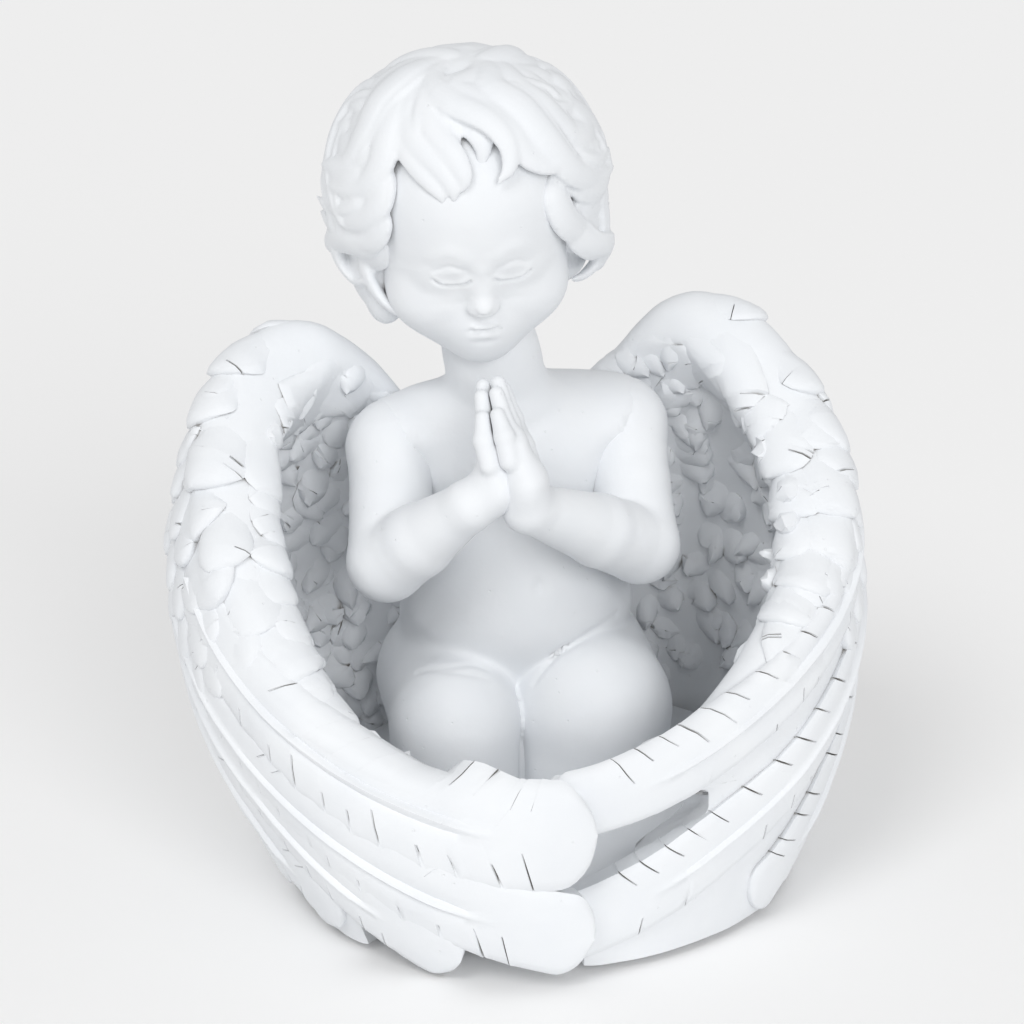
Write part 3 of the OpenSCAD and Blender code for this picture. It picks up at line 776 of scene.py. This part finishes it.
# Shoulder, elbow and wrist. The shoulders are the CAD's. The elbows and wrists stand 1 to 3 mm
# from the CAD's.
ARM_JOINTS = {RIGHT: [(-24, 9, 92.5), (-29.8, -11, 75), (-16, -26.5, 91.5)],
              LEFT: [(25.5, 9, 93.5), (24.2, -11, 74), (-4.5, -29, 91)]}
# The palms meet on a plane: its lowest front point, and the ways up the fingers, back over
# the palm, and out through the left hand
PALM = vec(-10.4, -35, 94.5)
UP = unit(vec(-3.9, 7, 23))
OUT = unit(np.cross(UP, unit(vec(0.42, 0.9, 0))) * -1)
BACK = np.cross(OUT, UP) * -1


# How far up the palm's plane each finger's tip is, little finger first
FINGERS = (17.4, 21.4, 23.2, 21.6)


def on_palm(out, back, up):
    return PALM + OUT * out + BACK * back + UP * up


def arm_forms(side):
    shoulder, elbow, wrist = (vec(*p) for p in ARM_JOINTS[side])
    upper = shoulder * 0.5 + elbow * 0.5
    fore = elbow * 0.62 + wrist * 0.38
    root = vec(side * 17, 11, 94)
    forms = [limb(root, 9, shoulder, 9.6, 1),
             limb(shoulder, 9.6, upper, 8.3, 1.5),
             limb(upper, 8.3, elbow, 8.2, 1),
             limb(elbow, 8.2, fore, 7.6, 1),
             limb(fore, 7.6, wrist, 5.0, 1)]
    return forms


def hand_forms(side):
    wrist = ARM_JOINTS[side][2]
    forms = [limb(wrist, 5.0, on_palm(side * 3.4, 6.2, 3.0), 3.9, 2),
             limb(on_palm(side * 3.0, 5.4, 2.6), (3.4, 4.8, 4.4),
                  on_palm(side * 2.5, 6.4, 10), (2.8, 5.8, 4.4), 4)]
    for i, length in enumerate(FINGERS):
        foot = on_palm(side * 2.1, 1.5 + 3.2 * i, 8 + 0.5 * i)
        knuckle = on_palm(side * 2.2, 1.5 + 3.2 * i, 13 + 0.7 * i)
        tip = on_palm(side * 1.6, 2.4 + 2.9 * i, length)
        forms += [limb(foot, 2.1, knuckle, 2.05, 1.2), limb(knuckle, 2.05, tip, 1.5, 0.7)]
    forms += [limb(on_palm(side * 3.6, 9.5, 3.5), 2.9, on_palm(side * 2.6, 12.6, 9.5), 2.2, 1.5),
              limb(on_palm(side * 2.6, 12.6, 9.5), 2.2, on_palm(side * 1.9, 13.8, 14.5), 1.6, 0.8)]
    return forms


SHOULDER_JOIN = 9.0     # how widely an arm melts into the torso, in mm


def soft_join(points, own, arm):
    """Skin that the torso and an arm share at the shoulder, how high up a point is in it, and
    its side: -1 is all torso and 1 all arm."""
    side = np.clip((own - arm) / SHOULDER_JOIN, -1, 3)
    h = np.clip(0.5 + 0.5 * side, 0, 1)
    skin = own * (1 - h) + arm * h - SHOULDER_JOIN * h * (1 - h)
    return skin, smooth(90, 98, points[:, 2]), side


def torso_field(points):
    """The torso, legs and feet. At the top of the shoulders its skin melts into the arms,
    and then slips under theirs."""
    own = melted(points, TORSO + LEGS + FEET)
    behind = points[:, 1] > 33
    own[behind] = melted(points[behind], TORSO + LEGS + FEET + toes())
    above = points[:, 2] > 88
    for side in (RIGHT, LEFT):
        part, mine = points[above], own[above]
        skin, high, share = soft_join(part, mine, melted(part, arm_forms(side)[:2]))
        skin = np.minimum(mine, skin + 4 * smooth(0.42, 1.2, share))
        own[above] = mine * (1 - high) + skin * high
    return own


def arm_field(side, points):
    """An arm and its hand. It shares the shoulder's skin, and slips under the torso's."""
    arm = melted(points, arm_forms(side) + hand_forms(side))
    above = points[:, 2] > 88
    part, mine = points[above], arm[above]
    skin, high, share = soft_join(part, melted(part, TORSO), mine)
    skin = np.maximum(skin + 4 * smooth(0.58, -0.4, share), mine - 2.5)
    arm[above] = mine * (1 - high) + skin * high
    return arm


def build_body(material):
    bm = skin_over(TORSO + LEGS + FEET + toes(), BODY_NET, torso_field)
    p = spots(bm)
    folds = [[(-26, -7, 53.5), (-19, -12, 54.6), (-12, -13, 53.6), (-8, -13.5, 51.5)],
             [(-25, -8, 51.5), (-18, -13.5, 52.2), (-12, -15, 50.8), (-9, -15, 49.6)],
             [(1, -13, 46), (6, -12, 51), (13, -9.5, 55), (21, -6, 56.5)]]
    amount = np.zeros(len(p))
    for fold, depth in zip(folds, (0.5, 0.4, 0.7)):             # where thigh meets belly
        amount -= depth * stroke(p, fold, 0.75, 40, torso_field)
    amount -= 0.9 * stroke(p, [(2.2, -11.5, 67.5), (2.4, -11.6, 66.5)], 1.3, 6, torso_field)   # navel
    amount -= 1.1 * stroke(p, [(2, 26, 56), (1.5, 24, 70), (0.5, 24, 84), (0, 22, 97)], 3.2)   # spine
    amount -= 0.8 * stroke(p, [(2.5, 38, 30), (2.5, 36, 42), (2.5, 32, 50)], 1.8)
    amount -= 0.5 * stroke(p, [(-15, -2, 103), (-8, -5, 101), (-2, -5, 99)], 1.8)      # collar bones
    amount -= 0.5 * stroke(p, [(16, -1, 104), (9, -4, 102), (2, -5, 99.5)], 1.8)
    amount += 0.12 * wobble(p, 9.0, 3)
    push(bm, amount)
    cut = bmesh.ops.bisect_plane(bm, geom=bm.verts[:] + bm.edges[:] + bm.faces[:], dist=0.0001,
                                 plane_co=(0, 0, FLOOR_Z), plane_no=(0, 0, -1), clear_outer=True)
    rim = [e for e in cut["geom_cut"] if isinstance(e, bmesh.types.BMEdge)]
    bmesh.ops.holes_fill(bm, edges=rim, sides=0)
    return cast("body_kneeling", bm, material, "body")


def build_arm(side, name, node, material):
    bm = skin_over(arm_forms(side) + hand_forms(side), ARM_NET,
                   lambda points: arm_field(side, points))
    elbow = vec(*ARM_JOINTS[side][1])
    p = spots(bm)
    amount = -0.5 * stroke(p, [elbow + vec(side * -3, -1, 8.5), elbow + vec(side * -8, -4, 7),
                               elbow + vec(side * -10, 2, 6)], 1.4)
    wrist = on_palm(side * 4, 5, 0.5)
    amount -= 0.35 * stroke(p, [wrist + OUT * side * 4 + BACK * -4, wrist + OUT * side * 5,
                                wrist + OUT * side * 4 + BACK * 5], 0.8)
    for i, length in enumerate(FINGERS):                        # finger joints
        for share in (0.66, 0.84):
            at = on_palm(side * 3.4, 2.2 + 3.0 * i, length * share)
            amount -= 0.16 * stroke(p, [at + BACK * -1.2, at + BACK * 1.2], 0.5, 4)
    push(bm, amount)
    return cast(name, bm, material, node)


# ---------------------------------------------------------------- the head

HEAD_AT = Vector((-10, -3, 147))
BOW, LEAN, TURN = 18, -4, -8        # degrees about X, Y and Z, as in the CAD


def set_on_neck(bm):
    """Turn a mesh made in the head's own axes and put it in its place."""
    turn = (Matrix.Rotation(math.radians(TURN), 4, "Z") @ Matrix.Rotation(math.radians(LEAN), 4, "Y")
            @ Matrix.Rotation(math.radians(BOW), 4, "X"))
    bmesh.ops.transform(bm, matrix=Matrix.Translation(HEAD_AT) @ turn, verts=bm.verts)


def mirrored(maker):
    return [form for side in (RIGHT, LEFT) for form in maker(side)]


# A calm child's face on usual proportions: eyes a little below half the head's height, the
# nose's base halfway between the brows and the chin's underside, the mouth a third of the way
# from there down. CHIN_Z is the middle of the chin.
EYE_Z, NOSE_Z, MOUTH_Z, CHIN_Z = -4.2, -11.8, -17.7, -24.0
FACE = [
    ball((0, 3, 6), (20.5, 21.5, 20.8)),
    ball((0, -5, 6), (16, 14.2, 14), 8),
    limb((0, -2.5, -7), (17.5, 16, 13), (0, -4.5, -14.5), (14.6, 13, 11), 9),
    *mirrored(lambda side: [ball((side * 9.3, -8.8, -13.0), (8.9, 8.3, 8.6), 5)]),
    *mirrored(lambda side: [limb((side * 10, -1, -15.5), 7.5, (side * 3, -8.5, -21.5), 6.5, 6)]),
    ball((0, -12.6, CHIN_Z + 0.6), (5, 4.8, 4.6), 4),
    ball((0, -12.6, MOUTH_Z - 0.4), (6.6, 5.6, 4.6), 4),
    limb((0, -16.9, EYE_Z + 1.2), (1.8, 2.1, 2.8), (0, -19.2, NOSE_Z + 1.6), (1.8, 2.1, 2.2), 3.5),
    ball((0, -19.9, NOSE_Z + 0.5), (1.8, 1.9, 1.7), 2.2),
    *mirrored(lambda side: [ball((side * 1.9, -18.5, NOSE_Z - 0.1), (1.1, 1.6, 1.1), 1.4)]),
    *mirrored(lambda side: [ball((side * 7.9, -12.9, EYE_Z - 0.4), (4.9, 4.9, 4.1), 2.4)]),
    *mirrored(lambda side: [limb((side * 3.6, -16.9, MOUTH_Z + 0.5), (1.3, 1.1, 0.6),
                                 (side * 1.2, -18.1, MOUTH_Z + 1.0), (1.8, 1.5, 1.15), 0.8)]),
    ball((0, -17.5, MOUTH_Z - 1.4), (3.3, 1.9, 1.35), 0.8),
    limb((2, 4, -14), 10.5, (3.5, 8.5, -32), 9.6, 5),
]


def face_field(points):
    return melted(points, FACE)


def on_face(path):
    """The same path, slid on to the face's skin."""
    points = np.array([(x, -24, z) for x, z in path], float)
    for _ in range(8):
        points = slide(points, face_field)
    return points


def build_face(material):
    bm = skin_over(FACE, FACE_NET, face_field)
    p = spots(bm)

    def line(path, wide, steps=30):
        return stroke(p, on_face(path), wide, steps, face_field)

    amount = np.zeros(len(p))
    for side in (RIGHT, LEFT):
        amount -= 0.5 * line([(side * 3.4, EYE_Z + 0.4), (side * 4.2, EYE_Z + 1.4)], 1.7, 8)
        lid = [(side * 4.0, EYE_Z - 1.0), (side * 5.8, EYE_Z - 2.3), (side * 8.2, EYE_Z - 2.7),
               (side * 10.4, EYE_Z - 2.0), (side * 12.0, EYE_Z - 0.8)]
        amount -= 0.8 * line(lid, 0.42, 60)
        amount += 0.25 * line([(x, z + 0.75) for x, z in lid], 0.6, 60)
        fold = [(side * 4.3, EYE_Z + 1.7), (side * 7.9, EYE_Z + 3.2), (side * 11.9, EYE_Z + 1.5)]
        amount -= 0.28 * line(fold, 0.6, 50)
        brow = [(side * 3.6, EYE_Z + 5.4), (side * 8, EYE_Z + 7), (side * 12.6, EYE_Z + 5)]
        amount += 0.34 * line(brow, 1.7)
        amount -= 0.5 * line([(side * 1.1, NOSE_Z - 1.2), (side * 1.7, NOSE_Z - 1.2)], 0.55, 8)
        amount -= 0.22 * line([(side * 3.5, NOSE_Z + 0.6), (side * 3.7, NOSE_Z - 1.0)], 0.7, 10)
        amount -= 0.25 * line([(side * 4.7, MOUTH_Z), (side * 5.1, MOUTH_Z + 0.2)], 0.8, 8)
    mouth = [(-4.7, MOUTH_Z + 0.15), (-2.2, MOUTH_Z), (0, MOUTH_Z - 0.3), (2.2, MOUTH_Z),
             (4.7, MOUTH_Z + 0.15)]
    amount -= 0.6 * line(mouth, 0.4, 60)
    amount -= 0.3 * line([(0, MOUTH_Z + 4.2), (0, MOUTH_Z + 2.6)], 0.7, 10)
    amount -= 0.45 * line([(-2.4, MOUTH_Z - 3.6), (0, MOUTH_Z - 4), (2.4, MOUTH_Z - 3.6)], 1.2)
    push(bm, amount)
    set_on_neck(bm)
    return cast("head_and_face", bm, material, "head")


# Hair is laid out on an egg round the skull, by turn from the face and height in degrees,
# and by how far in millimetres it stands off that egg
HAIR_MID, HAIR_R = vec(0, 5, 5), vec(25.8, 24.6, 25.3)
HAIR_CAP = [ball((0, 9, 6.5), (24.8, 21.8, 23.4)), ball((-18.5, -1, -19), (4.2, 6, 6), 4),
            ball((0, 6.5, 6), (25.2, 20.6, 24.4), 4), ball((0, 14, -8), (20.5, 14.5, 15), 8),
            ball((-19, 3, -13), (6.4, 9, 11), 6), ball((18.5, 5, -12), (6.4, 8, 11), 6)]


def on_hair(turn, height, off):
    turn, height = np.radians(turn), np.radians(height)
    way = np.stack([np.sin(turn) * np.cos(height), -np.cos(turn) * np.cos(height), np.sin(height)], -1)
    far = 1 / np.linalg.norm(way / HAIR_R, axis=-1)
    return HAIR_MID + way * (far + off)[..., None], way


def lock(path, half, thick=0.62, grooves=3, taper=1.3, twist=0.0):
    """One lock of hair, swept along path (turn, height, off) and drawn to a point."""
    path = np.array(path, float)
    stations, ring = 34, 18
    t = np.linspace(0, 1, stations)
    at = t * (len(path) - 1)
    mid, way = on_hair(*(curve_through(path[:, c], at) for c in range(3)))
    along = unit(np.gradient(mid, axis=0))
    aside = unit(np.cross(along, way))
    outward = np.cross(aside, along)
    turn = np.radians(twist) * t[:, None]
    aside, outward = (aside * np.cos(turn) + outward * np.sin(turn),
                      outward * np.cos(turn) - aside * np.sin(turn))
    wide = half * np.clip(t * 5, 0.12, 1) ** 0.5 * (1 - t**2.4 * 0.97) ** (0.55 * taper)
    bm, col, row = sheet_grid(ring + 1, stations)
    angle = 2 * math.pi * (row % ring) / ring
    x, y = np.cos(angle), np.sin(angle)
    ridge = 1 - 0.55 * (0.5 - 0.5 * np.cos(math.pi * grooves * (x + 1))) * (y > 0)
    place(bm, mid[col] + aside[col] * (x * wide[col])[:, None]
          + outward[col] * (y * ridge * thick * wide[col] - 0.15 * wide[col])[:, None])
    bmesh.ops.remove_doubles(bm, verts=bm.verts, dist=0.0005)
    bmesh.ops.holes_fill(bm, edges=[e for e in bm.edges if e.is_boundary], sides=0)
    return bm


# The locks that frame the face, each from its root to its tip: [turn, height, off], and
# then the lock's half width
FRONT_LOCKS = [
    ([(-120, 80, -1), (-66, 60, 0), (-40, 45, 0.8), (-22, 36, 1.3), (-13, 27, 1.4), (-11, 19, 0.8)], 3.0),
    ([(-105, 70, -1), (-60, 52, 0), (-42, 40, 0.5), (-28, 31, 0.8), (-19, 24, 1), (-16, 18, 0.4)], 2.6),
    ([(-130, 84, -1), (-56, 66, 0.3), (-26, 50, 1.2), (-11, 40, 2), (-6, 31, 2), (-8, 24, 1.2)], 3.0),
    ([(-160, 86, -1), (-50, 72, 0.8), (-10, 63, 2), (11, 54, 3), (19, 43, 3), (17, 33, 2.6),
      (9, 27, 2.4)], 3.4),
    ([(170, 86, -1), (0, 76, 0.5), (14, 62, 1.5), (24, 47, 2), (31, 34, 1.6), (42, 26, 1.6),
      (56, 25, 2.4)], 4.2),
    ([(140, 84, -1), (38, 72, 1), (40, 54, 2), (44, 36, 2), (52, 18, 1.6), (68, 5, 1.8), (84, 0, 4)], 4.6),
    ([(130, 80, -1), (62, 66, 0.6), (58, 48, 1.4), (62, 33, 1.2), (70, 22, 1), (80, 15, 1.6)], 4.2),
    ([(110, 74, -1), (80, 58, 0), (78, 44, 0), (80, 34, -0.4), (88, 26, 0)], 4.0),
    ([(46, 22, -1), (41, 10, 0), (44, -4, 1.2), (56, -16, 2), (72, -21, 3), (86, -18, 4.5)], 3.6),
    ([(54, -2, 0), (51, -12, 1.5), (59, -22, 4.6), (72, -28, 7), (76, -35, 8), (66, -41, 7),
      (55, -40, 5)], 3.5),
    ([(84, -6, 0), (80, -17, 3), (74, -29, 6), (76, -38, 8.5), (86, -42, 10)], 3.8),
    ([(-140, 80, -1), (-92, 66, 1), (-78, 50, 1.8), (-72, 36, 1.6), (-76, 20, 1.6), (-90, 10, 4)], 4.6),
    ([(-110, 70, -1), (-72, 56, 0.6), (-58, 42, 1), (-54, 28, 1), (-62, 14, 1.4), (-84, 4, 3.4)], 4.2),
    ([(-66, 32, -1), (-52, 22, 0), (-51, 10, 0.8), (-60, -1, 1.6), (-76, -7, 2.6), (-92, -5, 5)], 3.6),
    ([(-56, 12, -1), (-49, 3, 0.4), (-53, -8, 1.4), (-66, -14, 2.4), (-82, -15, 4), (-92, -12, 5)], 3.0),
    ([(-54, -6, 0), (-58, -13, 1.5), (-72, -17, 3), (-85, -23, 5), (-84, -32, 6.5),
      (-74, -37, 6.5), (-64, -33, 5)], 3.4),
    ([(-70, -22, 1), (-66, -32, 3.6), (-60, -39, 5.4), (-52, -43, 6.4), (-44, -46, 7)], 2.6),
    ([(-100, 2, 0), (-88, -8, 2), (-84, -19, 4), (-92, -28, 7), (-104, -32, 9)], 3.4),
]


def crown_locks(rng):
    """Locks that fall from the crown over the top, the sides and the back of the head."""
    made = []
    for k in range(15):                                       # flat ones over the top
        turn = -132 + k * 19 + rng.uniform(-3, 3)
        end = 34 if abs(turn) < 75 else 22
        made.append(([(turn - 50, 88, -1.6), (turn - 20, 74, -0.4), (turn - 4, 58, 0.4),
                      (turn + 3, 46, 0.6), (turn, end, -0.6)], rng.uniform(3.4, 4.8)))
    for row, (top, low, off, half) in enumerate([(62, -4, 0.6, 4.6), (34, -24, 1.4, 4.4),
                                                 (10, -40, 2.4, 4.0)]):
        count = 15 - row
        for k in range(count):
            turn = 98 + (168 / (count - 1)) * k + rng.uniform(-4, 4)
            bend = rng.choice((-1, 1)) * rng.uniform(9, 15)
            drop = low + rng.uniform(-5, 5)
            made.append(([(turn - bend * 0.6, top, -2), (turn + bend, top * 0.62 + drop * 0.38, off),
                          (turn + bend * 0.4, top * 0.36 + drop * 0.64, off + 1),
                          (turn - bend * 0.7, top * 0.12 + drop * 0.88, off + 1.6),
                          (turn - bend * 1.6, drop - 2, off + 2.6)], half))
    return made


def side_locks(rng):
    """Curls over the temples and ears, one above another, that sweep back and flick out."""
    made = []
    for side in (RIGHT, LEFT):
        for column, start in enumerate((52, 84)):
            for row in range(6):
                height = 46 - 13.5 * row - 5 * column + rng.uniform(-2, 2)
                turn = start + rng.uniform(-2, 4)
                flick = (0.2, 0.35, 0.7, 1, 1, 1)[row]
                made.append(([(side * turn, height + 9, -1), (side * (turn + 10), height - 1, 0.6),
                              (side * (turn + 21), height - 8, 0.6 + 1.1 * flick),
                              (side * (turn + 33), height - 9, 0.6 + 2.0 * flick),
                              (side * (turn + 42), height - 3, (3.6 - 1.6 * column) * flick)],
                             rng.uniform(3.8, 5.0)))
    return made


def build_hair(material):
    rng = random.Random(21)
    bm = rough_union(HAIR_CAP, 1.0, 0.0)
    for path, half in crown_locks(rng) + side_locks(rng):
        join_into(bm, lock(path, half, rng.uniform(0.5, 0.72), rng.choice((2, 3))))
    for path, half in FRONT_LOCKS:
        join_into(bm, lock(path, half, 0.66, 3, twist=rng.uniform(-12, 12)))
    bm = remeshed(bm, HAIR_NET)
    bmesh.ops.smooth_vert(bm, verts=bm.verts, factor=0.3, use_axis_x=True, use_axis_y=True,
                          use_axis_z=True)
    set_on_neck(bm)
    return cast("hair", bm, material, "head", crease=70)


# ---------------------------------------------------------------- the felt pad

def build_felt(material):
    """The pad under the base: a felt disc, die-cut, with a soft edge and a lumpy nap."""
    low, high = (np.array(corner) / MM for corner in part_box("felt_pad"))
    middle, radius, thick = (low + high) / 2, (high[0] - low[0]) / 2, high[2] - low[2]
    bm = bmesh.new()
    bmesh.ops.create_circle(bm, cap_ends=True, radius=radius - 0.15, segments=180)
    for k in range(14):
        bmesh.ops.inset_region(bm, faces=[max(bm.faces, key=lambda f: len(f.verts))],
                               thickness=0.4 if k < 2 else 3.2, use_boundary=True,
                               use_even_offset=True)
    made = bmesh.ops.extrude_face_region(bm, geom=bm.faces[:])
    raised = {v for v in made["geom"] if isinstance(v, bmesh.types.BMVert)}
    points = spots(bm)
    up = np.array([v in raised for v in bm.verts])
    far = np.linalg.norm(points[:, :2], axis=1)
    round_off = 0.3 * smooth(radius - 0.9, radius - 0.1, far)
    nap = 0.12 * (1 + wobble(points, 5.0, 2)) * smooth(radius, radius - 2, far)
    points[:, 2] = np.where(up, thick - round_off, round_off + np.clip(nap, 0, 0.3))
    points[:, :2] *= (1 - 0.0012 * (1 + wobble(points, 3.0, 8)))[:, None]
    points[:, :2] += middle[:2]
    points[:, 2] += low[2] - points[:, 2].min()
    place(bm, points)
    bmesh.ops.recalc_face_normals(bm, faces=bm.faces)
    return cast("felt_disc", bm, material, "felt_pad")


# ---------------------------------------------------------------- the pieces

# the number after each name is how dark the painted crease shade gets; the wings get more of it
child_white = painted_resin("matt white polyresin, smooth", 0.35)
wing_white = painted_resin("matt white polyresin, feathered", 0.85, 0.46)
refinish(ground_steel(), "neck_dowel", "shoulder_dowels", "left_wing_dowels", "right_wing_dowels",
         "base_pins")
refinish(bare_resin(), "fill_plug")
refinish(wing_white, "base_plate")
build_face(child_white)
build_hair(child_white)
build_body(child_white)
build_arm(RIGHT, "arm_right", "right_arm", child_white)
build_arm(LEFT, "arm_left", "left_arm", child_white)
build_wing(RIGHT, "wing_right_feathered", "right_wing", wing_white)
build_wing(LEFT, "wing_left_feathered", "left_wing", wing_white)
build_felt(pressed_felt())


# ---------------------------------------------------------------- stage

SKY = 0.58              # strength of the even white light from all round


def camera():
    """Standing a little to the figure's right and above, on a long lens."""
    azimuth, height, away, aim = -14.0, 20.0, 0.780, Vector((-0.0006, 0, 0.0794))
    back = Vector((math.sin(math.radians(azimuth)) * math.cos(math.radians(height)),
                   -math.cos(math.radians(azimuth)) * math.cos(math.radians(height)),
                   math.sin(math.radians(height))))
    data = bpy.data.cameras.new("camera")
    data.lens, data.sensor_width = 130.8, 36
    ob = bpy.data.objects.new("camera", data)
    ob.location = aim + back * away
    ob.rotation_euler = back.to_track_quat("Z", "Y").to_euler()
    bpy.context.scene.collection.objects.link(ob)
    bpy.context.scene.camera = ob


def far_softbox(name, at, spread, strength):
    """A large soft light so far off that it lights the whole floor alike."""
    data = bpy.data.lights.new(name, "SUN")
    data.angle, data.energy = math.radians(spread), strength
    ob = bpy.data.objects.new(name, data)
    ob.location = at
    ob.rotation_euler = (Vector(at) - Vector((0, 0, 0.09))).to_track_quat("Z", "Y").to_euler()
    bpy.context.scene.collection.objects.link(ob)


def studio():
    bm = bmesh.new()
    bmesh.ops.create_grid(bm, x_segments=1, y_segments=1, size=30)
    mesh = bpy.data.meshes.new("floor")
    bm.to_mesh(mesh)
    bm.free()
    floor = bpy.data.objects.new("floor", mesh)
    bpy.context.scene.collection.objects.link(floor)
    mat = bpy.data.materials.new("pale sweep")
    mat.use_nodes = True
    shader = mat.node_tree.nodes["Principled BSDF"]
    shader.inputs["Base Color"].default_value = linear("#fcfcfc")
    shader.inputs["Roughness"].default_value = 0.9
    mesh.materials.append(mat)
    world = bpy.data.worlds.new("studio")
    world.use_nodes = True
    world.node_tree.nodes["Background"].inputs[0].default_value = linear("#ffffff")
    world.node_tree.nodes["Background"].inputs[1].default_value = SKY
    bpy.context.scene.world = world
    bpy.context.scene.view_settings.view_transform = "Standard"
    far_softbox("key", (-0.42, -0.45, 0.75), 24, 0.75)
    far_softbox("front", (0.1, -1.0, 0.55), 30, 1.0)


camera()
studio()
